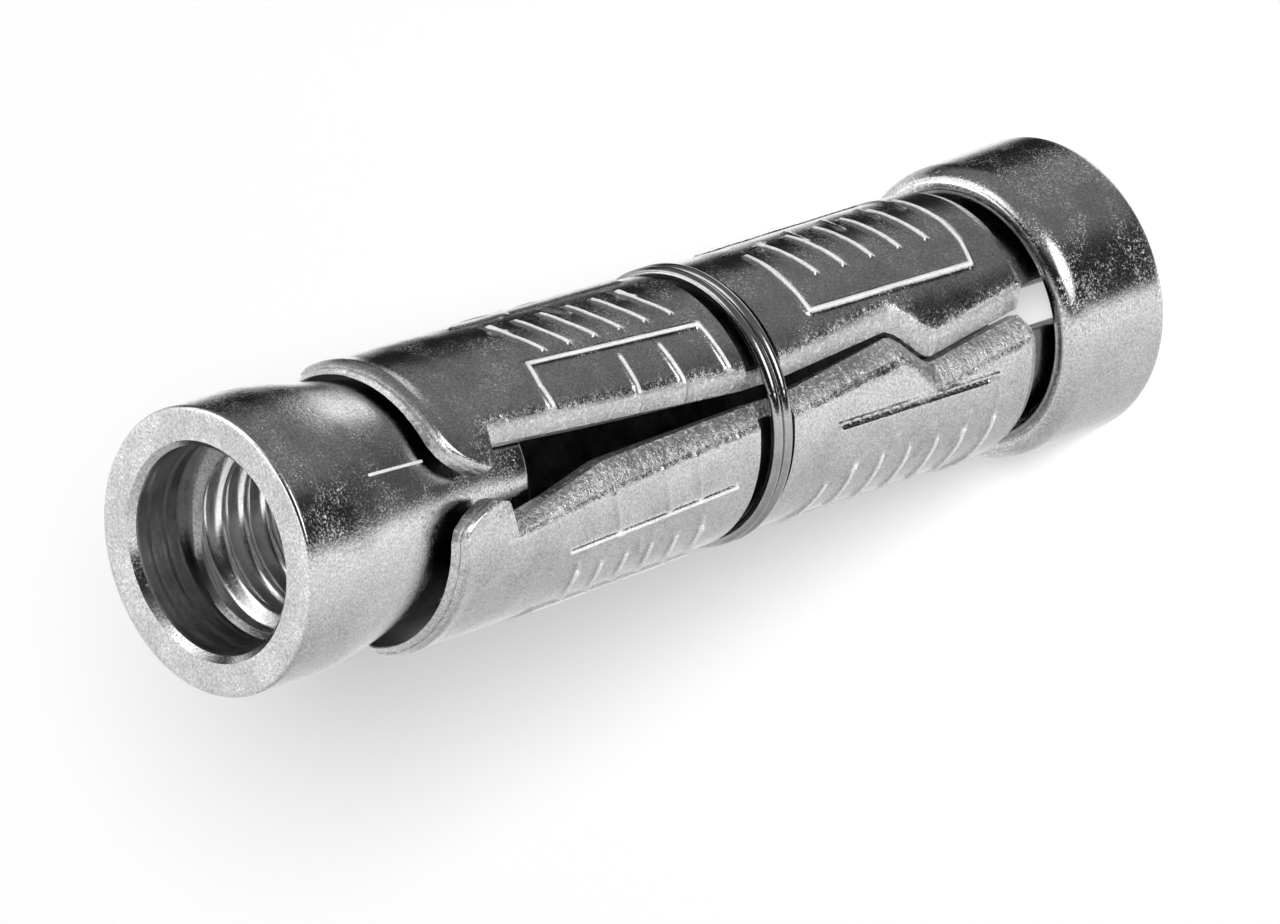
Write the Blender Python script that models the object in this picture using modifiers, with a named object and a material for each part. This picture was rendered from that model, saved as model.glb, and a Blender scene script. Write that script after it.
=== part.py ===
"""Three-segment shield anchor, standing on its ferrule with the expander nut on top.

Metres, +Z up. The ferrule stands flat on the ground. The shield is loose in it and leans
towards +Y, so the segments, the ring and the nut are modelled upright on an empty that
carries the lean. The segments and the ring stand a little to one side of the nut.
Heights are measured along the shield's own axis from the ferrule's end.
Angles across a segment are degrees from the seam on its clockwise side, seen from above.
"""
from math import cos, pi, radians, sin

import bmesh
import bpy
import numpy as np
from mathutils import Vector

# Whole anchor
ANCHOR_LENGTH = 0.060
SHIELD_LEAN = radians(2.3)
SEGMENT_COUNT = 3
FIRST_SEAM = -42.6
SHIELD_SHIFT = 0.00028
SHIFT_BEARING = radians(-127)
RUNNING_GAP = 0.00025
TURN_STEPS = 48

# Ferrule: a drawn cap with a bolt hole in its end and a rim rolled over the segments' necks
FERRULE_STEP = 0.0008
FERRULE_HEIGHT = 0.00735
FERRULE_WALL = 0.0007
FERRULE_LEDGE = 0.00205
FERRULE_CORNER = 0.0005
RIM_ROLL = 0.00125

# Expander nut: a collar, a cone that wedges the segments apart, and a neck inside them
NUT_BORE_RADIUS = 0.00425
NUT_NECK_WALL = 0.0011
NUT_CONE_SPREAD = 0.00199
NUT_COLLAR = 0.0045
NUT_CONE_SLOPE = 0.188
NUT_LENGTH = 0.0170
NUT_NECK_FILLET = 0.0022
NUT_EDGE = 0.0002
NUT_COUNTERBORE_STEP = 0.00105
NUT_COUNTERBORE_DEPTH = 0.0036

# Spring ring: two turns of wire, side by side in a groove at mid length
WIRE_RADIUS = 0.00032
RING_HEIGHT = 0.02675
RING_CLEARANCE = 0.0002
TURN_PITCH = 0.00066
RING_GAP_ANGLE = radians(20)
RING_GAP_BEARING = radians(135)
RING_POINT_STEP = radians(9)
GROOVE_WIDTH = 0.00227
GROOVE_RUNOUT = 0.0001

# Segments: pressed shells, thick enough to be sheared and bevelled along their edges
SEGMENT_WALL = 0.0015
MOUTH_WALL = 0.00102
CONE_CLEARANCE = 0.00055
FRONT_SWELL = 0.00005
CONE_SWELL = 0.0005
LIP_WALL = 0.00066
LIP_FLARE = 0.0001
LIP_FACE_RISE = 0.00045
BEVEL_DEPTH = 0.0007
SHOULDER_CLEARANCE = 0.0011
SHOULDER_ROUND = 0.0006
NECK_CLEARANCE = 0.00055
HOOK_CLEARANCE = 0.00055
RIM_HEADROOM = 0.00105
FLOOR_CLEARANCE = 0.0007
HINGE_DROP = 0.0006
HINGE_DEPTH = 0.0004
MOUTH_TAPER = 0.0050

# Seams: a wave that locks neighbours together, then a gap cut back towards the lips
SEAM_GAP = 0.0003
RING_SEAM_GAP = 0.0008
EDGE_ANGLE = 11.2
TAB_CLEAR_ANGLE = 10.0
WAVE_TROUGH_RISE = 0.0070
WAVE_CREST_RISE = 0.00985
WAVE_FOOT_ANGLE = 0.5
WAVE_TROUGH_ANGLE = -9.3
WAVE_CREST_ANGLE = 8.2

# Lips: level across the middle, swept back to an ear at each corner
LIP_SETBACK = 0.01035
LIP_GRID_DEPTH = 0.0056
CUT_DEPTH = 0.00405
CUT_TAPER_DEPTH = 0.0105
NEAR_MID_ANGLE = 17.5
NEAR_CUT_ANGLE = 21.6
NEAR_MID_BEVEL = 7.3
NEAR_CUT_BEVEL = 7.3
NEAR_CORNER_DEPTH = 0.00225
NEAR_SWEEP_ANGLE = 22.0
NEAR_EAR_DEPTH = 0.0033
NEAR_EAR_ANGLE = 4.5
FAR_MID_ANGLE = 17.1
FAR_CUT_ANGLE = 23.2
FAR_MID_BEVEL = 10.3
FAR_CUT_BEVEL = 3.5
FAR_CORNER_DEPTH = 0.00235
FAR_SWEEP_ANGLE = 13.0
FAR_EAR_DEPTH = 0.00375
FAR_EAR_ANGLE = 7.5
EAR_STEP = 0.0005
EAR_BEVEL = 1.0
SWEEP_POWER = 2.5

# Mesh density of a segment
SKIN_SHARES = (0.0, 0.04, 0.1, 0.18, 0.27, 0.36, 0.45, 0.55, 0.64, 0.73, 0.82, 0.9, 0.96, 1.0)
LIP_ROWS = (0.2, 0.38, 0.5, 0.6, 0.68, 0.76, 0.83, 0.91, 1.0)

# Sizes that follow from the ones above
SEGMENT_SPAN = 360.0 / SEGMENT_COUNT
NUT_NECK_RADIUS = NUT_BORE_RADIUS + NUT_NECK_WALL
NUT_RADIUS = NUT_NECK_RADIUS + NUT_CONE_SPREAD
NUT_COUNTERBORE_RADIUS = NUT_BORE_RADIUS + NUT_COUNTERBORE_STEP
NUT_FOOT = ANCHOR_LENGTH - NUT_LENGTH
COLLAR_FOOT = ANCHOR_LENGTH - NUT_COLLAR
CONE_FOOT = COLLAR_FOOT - NUT_CONE_SPREAD / NUT_CONE_SLOPE
BODY_RADIUS = NUT_NECK_RADIUS + CONE_CLEARANCE + MOUTH_WALL
BORE_RADIUS = BODY_RADIUS - SEGMENT_WALL
FRONT_RADIUS = BODY_RADIUS + FRONT_SWELL
FERRULE_RADIUS = BODY_RADIUS + FERRULE_STEP
FERRULE_HOLE_RADIUS = FERRULE_RADIUS - FERRULE_LEDGE
RIM_OPENING = FERRULE_RADIUS - RIM_ROLL
FERRULE_INNER = FERRULE_RADIUS - FERRULE_WALL
NECK_RADIUS = RIM_OPENING - NECK_CLEARANCE
HOOK_RADIUS = FERRULE_INNER - HOOK_CLEARANCE
HOOK_FOOT = FERRULE_WALL + FLOOR_CLEARANCE
HOOK_TOP = FERRULE_HEIGHT - FERRULE_WALL - RIM_HEADROOM
HINGE_HEIGHT = HOOK_TOP - HINGE_DROP
HINGE_RADIUS = HOOK_RADIUS - HINGE_DEPTH
SHOULDER_HEIGHT = FERRULE_HEIGHT + SHOULDER_CLEARANCE
RING_RADIUS = BODY_RADIUS
GROOVE_LOW = RING_HEIGHT - WIRE_RADIUS - RING_CLEARANCE
GROOVE_HIGH = GROOVE_LOW + GROOVE_WIDTH
GROOVE_FLOOR = RING_RADIUS - WIRE_RADIUS - RUNNING_GAP
CUT_FOOT = GROOVE_HIGH + GROOVE_RUNOUT
LIP_HEIGHT = ANCHOR_LENGTH - LIP_SETBACK
LIP_RADIUS = NUT_RADIUS - NUT_CONE_SLOPE * (COLLAR_FOOT - LIP_HEIGHT) + CONE_CLEARANCE + LIP_WALL
LIP_GRID_FOOT = LIP_HEIGHT - LIP_GRID_DEPTH
WAVE_HEIGHTS = (
    SHOULDER_HEIGHT, SHOULDER_HEIGHT + WAVE_TROUGH_RISE, SHOULDER_HEIGHT + WAVE_CREST_RISE, GROOVE_LOW,
)
WAVE_ANGLES = (WAVE_FOOT_ANGLE, WAVE_TROUGH_ANGLE, WAVE_CREST_ANGLE, 0.0)


def base_place():
    """Where the ferrule stands, so that the leaning whole is centred on the origin."""
    lip_reach = LIP_RADIUS + LIP_FLARE - SHIELD_SHIFT * cos(SHIFT_BEARING)
    top_reach = ANCHOR_LENGTH * sin(SHIELD_LEAN) + NUT_RADIUS * cos(SHIELD_LEAN)
    return Vector(((lip_reach - FERRULE_RADIUS) / 2, -(top_reach - FERRULE_RADIUS) / 2, 0.0))


def cone_radius(height):
    """The nut's cone at a height, before its fillet and neck."""
    return NUT_RADIUS - NUT_CONE_SLOPE * (COLLAR_FOOT - height)


def arc(centre, radius, start, end, steps):
    """Points of a circular arc in the profile plane, angles in degrees."""
    angles = [radians(start + (end - start) * i / steps) for i in range(steps + 1)]
    return [(centre[0] + radius * cos(a), centre[1] + radius * sin(a)) for a in angles]


def clear_scene():
    for obj in list(bpy.data.objects):
        bpy.data.objects.remove(obj)


def metal(name, colour, roughness):
    material = bpy.data.materials.new(name)
    material.use_nodes = True
    shader = material.node_tree.nodes["Principled BSDF"]
    shader.inputs["Base Color"].default_value = (*colour, 1.0)
    shader.inputs["Metallic"].default_value = 1.0
    shader.inputs["Roughness"].default_value = roughness
    return material


def add_object(name, data, collection, parent, material):
    data.materials.append(material)
    obj = bpy.data.objects.new(name, data)
    collection.objects.link(obj)
    obj.parent = parent
    return obj


def turned(name, profile, collection, parent, material):
    """A ring turned about Z from a closed profile that runs down its outer side."""
    mesh = bpy.data.meshes.new(name)
    count = len(profile)
    points = [(radius, 0.0, height) for radius, height in profile]
    mesh.from_pydata(points, [(i, (i + 1) % count) for i in range(count)], [])
    obj = add_object(name, mesh, collection, parent, material)
    screw = obj.modifiers.new("turn", "SCREW")
    screw.steps = TURN_STEPS
    screw.render_steps = TURN_STEPS
    screw.use_merge_vertices = True
    screw.merge_threshold = 0.00001
    screw.use_smooth_shade = True
    return obj


def ferrule_profile():
    roll_centre = (RIM_OPENING, FERRULE_HEIGHT - RIM_ROLL)
    corner_centre = (FERRULE_RADIUS - FERRULE_CORNER, FERRULE_CORNER)
    profile = arc(roll_centre, RIM_ROLL, 90, 0, 6)
    profile += arc(corner_centre, FERRULE_CORNER, 0, -90, 3)
    profile += [(FERRULE_HOLE_RADIUS, 0.0), (FERRULE_HOLE_RADIUS, FERRULE_WALL)]
    profile += [
        (FERRULE_INNER - FERRULE_CORNER / 2, FERRULE_WALL),
        (FERRULE_INNER, FERRULE_WALL + FERRULE_CORNER / 2),
    ]
    profile += arc(roll_centre, RIM_ROLL - FERRULE_WALL, 0, 90, 3)
    return profile


def nut_profile():
    fillet_top = CONE_FOOT + NUT_NECK_FILLET / 2
    counterbore_end = ANCHOR_LENGTH - NUT_COUNTERBORE_DEPTH
    return [
        (NUT_COUNTERBORE_RADIUS + NUT_EDGE, ANCHOR_LENGTH),
        (NUT_RADIUS - NUT_EDGE, ANCHOR_LENGTH),
        (NUT_RADIUS, ANCHOR_LENGTH - NUT_EDGE),
        (NUT_RADIUS, COLLAR_FOOT),
        (cone_radius(fillet_top), fillet_top),
        (NUT_NECK_RADIUS + NUT_CONE_SLOPE * NUT_NECK_FILLET / 8, CONE_FOOT),
        (NUT_NECK_RADIUS, CONE_FOOT - NUT_NECK_FILLET / 2),
        (NUT_NECK_RADIUS, NUT_FOOT + NUT_EDGE),
        (NUT_NECK_RADIUS - NUT_EDGE, NUT_FOOT),
        (NUT_BORE_RADIUS + NUT_EDGE, NUT_FOOT),
        (NUT_BORE_RADIUS, NUT_FOOT + NUT_EDGE),
        (NUT_BORE_RADIUS, counterbore_end - (NUT_COUNTERBORE_RADIUS - NUT_BORE_RADIUS) / 2),
        (NUT_COUNTERBORE_RADIUS, counterbore_end),
        (NUT_COUNTERBORE_RADIUS, ANCHOR_LENGTH - NUT_EDGE),
    ]


def ring_centreline():
    """Two flat turns joined by a short cross-over, like a split ring."""
    start = RING_GAP_ANGLE
    end = 4 * pi - RING_GAP_ANGLE
    points = []
    for i in range(round((end - start) / RING_POINT_STEP) + 1):
        angle = start + (end - start) * i / round((end - start) / RING_POINT_STEP)
        share = (angle - (2 * pi - RING_GAP_ANGLE)) / (2 * RING_GAP_ANGLE)
        share = min(max(share, 0.0), 1.0)
        climb = TURN_PITCH * share * share * (3 - 2 * share)
        bearing = angle + RING_GAP_BEARING
        points.append((RING_RADIUS * cos(bearing), RING_RADIUS * sin(bearing), RING_HEIGHT + climb))
    return points


def wire(name, points, radius, collection, parent, material):
    curve = bpy.data.curves.new(name, "CURVE")
    curve.dimensions = "3D"
    curve.bevel_depth = radius
    curve.bevel_resolution = 2
    curve.use_fill_caps = True
    spline = curve.splines.new("POLY")
    spline.points.add(len(points) - 1)
    for target, point in zip(spline.points, points):
        target.co = (*point, 1.0)
    return add_object(name, curve, collection, parent, material)


def outer_radius(height):
    heights = (
        HOOK_FOOT, HOOK_TOP - RUNNING_GAP, HOOK_TOP + RUNNING_GAP, SHOULDER_HEIGHT - RUNNING_GAP,
        SHOULDER_HEIGHT, SHOULDER_HEIGHT + SHOULDER_ROUND, GROOVE_LOW - GROOVE_RUNOUT, GROOVE_LOW,
        GROOVE_HIGH, CUT_FOOT, CONE_FOOT, LIP_HEIGHT,
    )
    radii = (
        HOOK_RADIUS, HOOK_RADIUS, NECK_RADIUS, NECK_RADIUS,
        BODY_RADIUS - SHOULDER_ROUND / 2, BODY_RADIUS, BODY_RADIUS, GROOVE_FLOOR,
        GROOVE_FLOOR, FRONT_RADIUS, BODY_RADIUS + CONE_SWELL, LIP_RADIUS,
    )
    return float(np.interp(height, heights, radii))


def inner_radius(height):
    """A plain bore that opens round the nut's neck, then lies parallel to its cone."""
    if height > CONE_FOOT:
        return cone_radius(height) + CONE_CLEARANCE
    opened = (BORE_RADIUS, NUT_NECK_RADIUS + CONE_CLEARANCE)
    return float(np.interp(height, (NUT_FOOT - MOUTH_TAPER, NUT_FOOT), opened))


def wave_angle(height):
    """The seam's offset in degrees: a ramp to a crest, a steep drop and a ramp back."""
    if WAVE_HEIGHTS[1] < height < WAVE_HEIGHTS[2]:
        share = (height - WAVE_HEIGHTS[1]) / (WAVE_HEIGHTS[2] - WAVE_HEIGHTS[1])
        return WAVE_TROUGH_ANGLE + (WAVE_CREST_ANGLE - WAVE_TROUGH_ANGLE) * share * share * (3 - 2 * share)
    return float(np.interp(height, WAVE_HEIGHTS, WAVE_ANGLES))


def half_gap_angle(height):
    """Half of the seam's gap in degrees, wider under the ring than at the wave."""
    gap = np.interp(height, (WAVE_HEIGHTS[2], GROOVE_LOW), (SEAM_GAP, RING_SEAM_GAP))
    return float(np.degrees(gap / 2 / (BODY_RADIUS - BEVEL_DEPTH)))


def rear_edges(height, wave_sign):
    """Angles of a bevel's outer and inner edge, from the tab in the ferrule up to the ring."""
    if height < SHOULDER_HEIGHT:
        return TAB_CLEAR_ANGLE + half_gap_angle(height), TAB_CLEAR_ANGLE
    rounded = TAB_CLEAR_ANGLE * np.interp(
        height, (SHOULDER_HEIGHT, SHOULDER_HEIGHT + SHOULDER_ROUND), (0.5, 0.0)
    )
    offset = wave_sign * wave_angle(height)
    return float(offset + EDGE_ANGLE + rounded / 2), float(offset + half_gap_angle(height) + rounded)


def front_edges(height, cut_angles, bevels, ear_depth, ear_angle, corner_depth):
    """Angles of a bevel's outer and inner edge, from the ring up to the lip's corner."""
    cut_mid = LIP_HEIGHT - CUT_TAPER_DEPTH
    cut_top = LIP_HEIGHT - CUT_DEPTH
    ear_foot = LIP_HEIGHT - ear_depth
    outer = np.interp(
        height,
        (CUT_FOOT, cut_mid, cut_top, ear_foot, ear_foot + EAR_STEP, LIP_HEIGHT - corner_depth),
        (EDGE_ANGLE, *cut_angles, cut_angles[1], ear_angle + 2 * EAR_BEVEL, ear_angle),
    )
    bevel = np.interp(
        height,
        (CUT_FOOT, cut_mid, cut_top, ear_foot, ear_foot + EAR_STEP),
        (EDGE_ANGLE - half_gap_angle(CUT_FOOT), *bevels, bevels[1], EAR_BEVEL),
    )
    return float(outer), float(outer - bevel)


def near_edges(height):
    if height < CUT_FOOT:
        return rear_edges(height, 1)
    cuts = (NEAR_MID_ANGLE, NEAR_CUT_ANGLE)
    bevels = (NEAR_MID_BEVEL, NEAR_CUT_BEVEL)
    return front_edges(height, cuts, bevels, NEAR_EAR_DEPTH, NEAR_EAR_ANGLE, NEAR_CORNER_DEPTH)


def far_edges(height):
    if height < CUT_FOOT:
        return rear_edges(height, -1)
    cuts = (FAR_MID_ANGLE, FAR_CUT_ANGLE)
    bevels = (FAR_MID_BEVEL, FAR_CUT_BEVEL)
    return front_edges(height, cuts, bevels, FAR_EAR_DEPTH, FAR_EAR_ANGLE, FAR_CORNER_DEPTH)


def lip_height(angle):
    """The lip's outline, from the near corner to the far one."""
    near = np.clip((angle - NEAR_EAR_ANGLE) / NEAR_SWEEP_ANGLE, 0.0, 1.0)
    far = np.clip((SEGMENT_SPAN - FAR_EAR_ANGLE - angle) / FAR_SWEEP_ANGLE, 0.0, 1.0)
    near_drop = NEAR_CORNER_DEPTH * (1 - near) ** SWEEP_POWER
    far_drop = FAR_CORNER_DEPTH * (1 - far) ** SWEEP_POWER
    return LIP_HEIGHT - near_drop - far_drop


def row_heights():
    """Heights of a segment's sections below its lip, closer together at each change of form."""
    low = SHOULDER_HEIGHT
    return [
        HOOK_FOOT, HOOK_TOP - RUNNING_GAP, HOOK_TOP + RUNNING_GAP, low - RUNNING_GAP, low,
        low + SHOULDER_ROUND / 2, low + SHOULDER_ROUND,
        *np.linspace(low + 2 * SHOULDER_ROUND, WAVE_HEIGHTS[1], 4),
        *np.linspace(WAVE_HEIGHTS[1], WAVE_HEIGHTS[2], 6)[1:],
        *np.linspace(WAVE_HEIGHTS[2], GROOVE_LOW - GROOVE_RUNOUT, 5)[1:],
        GROOVE_LOW, GROOVE_HIGH,
        *np.linspace(CUT_FOOT, LIP_GRID_FOOT, 7),
    ]


def section(heights, flare, rise):
    """One closed section: outer skin, far bevel, inner skin, near bevel."""
    near_outer, near_inner = near_edges(heights[0])
    far_outer, far_inner = far_edges(heights[-1])
    skin_span = SEGMENT_SPAN - far_outer - near_outer
    bore_span = SEGMENT_SPAN - far_inner - near_inner
    skin = [
        (near_outer + skin_span * share, outer_radius(height) + flare, height)
        for share, height in zip(SKIN_SHARES, heights)
    ]
    bore = [
        (near_inner + bore_span * share, inner_radius(height + rise), height + rise)
        for share, height in zip(SKIN_SHARES, heights)
    ]
    feet = []
    for outer_point, inner_point in ((skin[0], bore[0]), (skin[-1], bore[-1])):
        depth = min(BEVEL_DEPTH, (outer_point[1] - inner_point[1]) / 2)
        feet.append((inner_point[0], outer_point[1] - depth, outer_point[2]))
    return skin + [feet[1]] + bore[::-1] + [feet[0]]


def segment_mesh(name):
    """A loft through unlike sections, in the frame of a hinge at its tail, +X outwards."""
    sections = [section([height] * len(SKIN_SHARES), 0.0, 0.0) for height in row_heights()]
    ear_span = SEGMENT_SPAN - FAR_EAR_ANGLE - NEAR_EAR_ANGLE
    tips = [lip_height(NEAR_EAR_ANGLE + ear_span * share) for share in SKIN_SHARES]
    for row_share in LIP_ROWS:
        heights = [LIP_GRID_FOOT + row_share * (tip - LIP_GRID_FOOT) for tip in tips]
        flare = LIP_FLARE * max(0.0, row_share - LIP_ROWS[-3]) / (1 - LIP_ROWS[-3])
        sections.append(section(heights, flare, LIP_FACE_RISE * row_share))

    model = bmesh.new()
    rows = []
    for points in sections:
        row = []
        for angle, radius, height in points:
            bearing = radians(angle - SEGMENT_SPAN / 2)
            place = (radius * cos(bearing) - HINGE_RADIUS, radius * sin(bearing), height - HINGE_HEIGHT)
            row.append(model.verts.new(place))
        rows.append(row)
    count = len(rows[0])
    for low, high in zip(rows, rows[1:]):
        for i in range(count):
            j = (i + 1) % count
            model.faces.new((low[i], low[j], high[j], high[i]))
    for row, flip in ((rows[0], True), (rows[-1], False)):
        for i in range(len(SKIN_SHARES) - 1):
            a, b = row[i], row[i + 1]
            c, d = row[count - 3 - i], row[count - 2 - i]
            model.faces.new((d, c, b, a) if flip else (a, b, c, d))
        skin = len(SKIN_SHARES)
        far_corner = (row[skin - 1], row[skin], row[skin + 1])
        near_corner = (row[0], row[count - 2], row[count - 1])
        for corner in (far_corner, near_corner):
            model.faces.new(corner[::-1] if flip else corner)
    mesh = bpy.data.meshes.new(name)
    bmesh.ops.recalc_face_normals(model, faces=model.faces)
    model.to_mesh(mesh)
    model.free()
    mesh.shade_smooth()
    mesh.set_sharp_from_angle(angle=radians(35))
    return mesh


def build():
    clear_scene()
    collection = bpy.data.collections.new("shield_anchor")
    bpy.context.scene.collection.children.link(collection)

    axis = bpy.data.objects.new("shield_axis", None)
    collection.objects.link(axis)
    axis.location = base_place()
    axis.rotation_euler = (-SHIELD_LEAN, 0.0, 0.0)
    shield = bpy.data.objects.new("shield_place", None)
    collection.objects.link(shield)
    shield.parent = axis
    shield.location = (SHIELD_SHIFT * cos(SHIFT_BEARING), SHIELD_SHIFT * sin(SHIFT_BEARING), 0.0)

    plated = metal("zinc_plated_steel", (0.62, 0.62, 0.62), 0.28)
    pressed = metal("pressed_zinc_steel", (0.56, 0.56, 0.56), 0.34)
    spring = metal("spring_wire", (0.70, 0.70, 0.70), 0.22)
    cap = metal("drawn_zinc_steel", (0.60, 0.60, 0.60), 0.25)

    ferrule = turned("ferrule", ferrule_profile(), collection, None, cap)
    ferrule.location = base_place()
    turned("expander_nut", nut_profile(), collection, axis, plated)
    wire("spring_ring", ring_centreline(), WIRE_RADIUS, collection, shield, spring)

    mesh = segment_mesh("shield_segment")
    mesh.materials.append(pressed)
    for index in range(SEGMENT_COUNT):
        bearing = radians(FIRST_SEAM + SEGMENT_SPAN * (index + 0.5))
        segment = bpy.data.objects.new(f"shield_segment_{index + 1}", mesh)
        collection.objects.link(segment)
        segment.parent = shield
        segment.location = Vector((HINGE_RADIUS * cos(bearing), HINGE_RADIUS * sin(bearing), HINGE_HEIGHT))
        segment.rotation_euler = (0.0, 0.0, bearing)


build()
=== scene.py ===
"""Looks of the shield anchor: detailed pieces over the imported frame, a floor, lights and a camera.

Metres. The shield is built upright in its own frame, with heights measured along its axis from
the ferrule's end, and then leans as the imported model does. Angles across a segment are degrees
from the seam on its clockwise side, seen from above.
"""

from collections import namedtuple
from math import ceil, cos, pi, radians, sin

import bmesh
import bpy
import numpy as np
from mathutils import Matrix, Vector


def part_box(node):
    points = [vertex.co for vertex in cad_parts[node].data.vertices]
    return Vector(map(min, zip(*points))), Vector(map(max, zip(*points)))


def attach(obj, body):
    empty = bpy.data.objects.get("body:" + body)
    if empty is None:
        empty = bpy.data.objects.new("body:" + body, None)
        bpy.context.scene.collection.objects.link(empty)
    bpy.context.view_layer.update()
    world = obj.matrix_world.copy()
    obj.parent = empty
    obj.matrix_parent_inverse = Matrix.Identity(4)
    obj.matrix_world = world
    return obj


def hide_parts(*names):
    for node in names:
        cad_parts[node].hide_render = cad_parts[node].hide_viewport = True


# Whole anchor
ANCHOR_LENGTH = 0.060
SHIELD_LEAN = radians(2.3)
SEGMENT_COUNT = 3
FIRST_SEAM = -42.6
SHIELD_SHIFT = 0.00028
SHIFT_BEARING = radians(-127)
RUNNING_GAP = 0.00025

# Ferrule
FERRULE_WALL = 0.0007
FERRULE_LEDGE = 0.00205
FERRULE_CORNER = 0.0006
FERRULE_INNER_CORNER = 0.0003
RIM_ROLL = 0.00125
RIM_EDGE = 0.0005
RIM_CURL = 0.0002
RIM_TOP = 0.0002

# Expander nut
NUT_RADIUS = 0.00734
NUT_COLLAR = 0.0045
NUT_COLLAR_BLEND = 0.0016
NUT_CONE_SLOPE = 0.188
NUT_LENGTH = 0.0170
NUT_NECK_RADIUS = 0.00535
NUT_NECK_FILLET = 0.0022
NUT_EDGE = 0.00018
NUT_FOOT_CHAMFER = 0.0009
NUT_BORE_RADIUS = 0.00425
NUT_COUNTERBORE_RADIUS = 0.0053
NUT_COUNTERBORE_DEPTH = 0.0035
COUNTERBORE_STEP = 0.0003
TOOL_RIDGES = 3
TOOL_RIDGE_HEIGHT = 0.00008
MOUTH_CHAMFER = 0.00032
THREAD_PITCH = 0.0015
THREAD_DEPTH = 0.00078
THREAD_START = radians(119)
THREAD_FADE = 0.0003
THREAD_CREST_SHARE = 0.1
THREAD_FLANK_SHARE = 0.75
COLLAR_WEAR_RISE = 0.0006
COLLAR_WEAR_WIDTH = 0.0009
SCRATCH_BEARING = radians(-27.8)
SCRATCH_HEIGHTS = (0.0504, 0.0546)
SCRATCH_WIDTH = 0.0001

# Spring ring
WIRE_RADIUS = 0.00032
RING_HEIGHT = 0.02675
RING_CLEARANCE = 0.0002
TURN_PITCH = 0.00066
RING_GAP_ANGLE = radians(20)
RING_GAP_BEARING = radians(135)
SLEEVE_ANGLE = radians(7)
SLEEVE_SHARE = 0.93
SLEEVE_STEP = 0.00001
GROOVE_WIDTH = 0.00227
GROOVE_RUNOUT = 0.0001

# Segments
BODY_RADIUS = 0.00692
FRONT_RADIUS = 0.00697
CONE_FOOT_RADIUS = 0.00742
LIP_RADIUS = 0.00745
LIP_FLARE = 0.0001
LIP_FLARE_LENGTH = 0.0011
LIP_FACE_RISE = 0.00045
LIP_ROUND = 0.00012
LIP_ROUND_LENGTH = 0.0003
LIP_CREASE = 0.0001
LIP_CREASE_PLACE = 0.33
LIP_CREASE_SHARE = 0.06
LIP_ROUND_SHARE = 0.22
BORE_RADIUS = 0.00542
CONE_CLEARANCE = 0.00055
BEVEL_DEPTH = 0.0007
SHOULDER_CLEARANCE = 0.0011
SHOULDER_ROUND = 0.0006
NECK_CLEARANCE = 0.00055
HOOK_CLEARANCE = 0.00055
RIM_HEADROOM = 0.00105
FLOOR_CLEARANCE = 0.0007
MOUTH_TAPER = 0.0050
EDGE_ROLL = 0.00045
EDGE_DROP = 0.00009

# Seams
SEAM_GAP = 0.0003
RING_SEAM_GAP = 0.0008
EDGE_ANGLE = 11.2
TAB_CLEAR_ANGLE = 10.0
WAVE_TROUGH_RISE = 0.0070
WAVE_CREST_RISE = 0.00985
WAVE_FOOT_ANGLE = 0.5
WAVE_TROUGH_ANGLE = -9.3
WAVE_CREST_ANGLE = 8.2

# Lips
LIP_SETBACK = 0.01035
LIP_GRID_DEPTH = 0.0056
CUT_DEPTH = 0.00405
CUT_TAPER_DEPTH = 0.0105
NEAR_CUTS = (17.5, 21.6)
NEAR_BEVELS = (7.3, 7.3)
NEAR_CORNER_DEPTH = 0.00225
NEAR_SWEEP_ANGLE = 22.0
NEAR_EAR_DEPTH = 0.0033
NEAR_EAR_ANGLE = 4.5
FAR_CUTS = (17.1, 23.2)
FAR_BEVELS = (10.3, 3.5)
FAR_CORNER_DEPTH = 0.00235
FAR_SWEEP_ANGLE = 13.0
FAR_EAR_DEPTH = 0.00375
FAR_EAR_ANGLE = 7.5
EAR_STEP = 0.0005
EAR_BEVEL = 1.0
SWEEP_POWER = 2.5

# Embossing and wear
STROKE_WIDTH = 0.00016
STROKE_RISE = 0.00018
LINE_RISE = 0.00018
FAINT_RISE = 0.00008
CUT_WIDTH = 0.0001
CUT_RISE = -0.00018
CRUMPLE_WIDTH = 0.00045
CRUMPLE_START = 0.0001
CRUMPLE_SIZE = 0.00028
CRUMPLE_DEPTH = 0.000022
DENT_DEPTH = 0.000012
DENT_SIZE = 0.0011
WEAR_PATCH = 0.0015
RIPPLE_DEPTH = 0.000025
RIPPLE_SIZE = 0.0003
LIP_GRAIN_DEPTH = 0.00002
LIP_GRAIN_SIZE = 0.0002
LIP_WEAR = 0.7

# Mesh density
ROW_STEP = 0.000098
TAIL_ROW_STEP = 0.0004
BORE_COLUMNS = 23
SKIN_PER_BORE = 6
SKIN_COLUMNS = SKIN_PER_BORE * (BORE_COLUMNS - 1) + 1
BEVEL_COLUMNS = 7
WALL_COLUMNS = 2
CAP_ROWS = 9
TURN_COLUMNS = 192
FERRULE_ROW_STEP = 0.0004
NUT_ROW_STEP = 0.0002
THREAD_ROW_STEP = 0.0001
FINE_THREAD_ROW_STEP = 0.00004
FINE_THREAD_DEPTH = 0.0065
COUNTERBORE_ROWS = 24
WIRE_STEP = radians(1.5)
SHORTEST_RUN = radians(2)
SHARP_ANGLE = radians(38)

# Zinc's texture
MICRON = 0.000001
GRAIN_SIZE = 0.00013
STAIN_SIZE = 0.0022
RUBBLE_SIZE = 0.00022
PIT_SIZE = 0.00014
LINE_SIZE = 0.00011
LINE_SQUEEZE = 0.03

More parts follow.
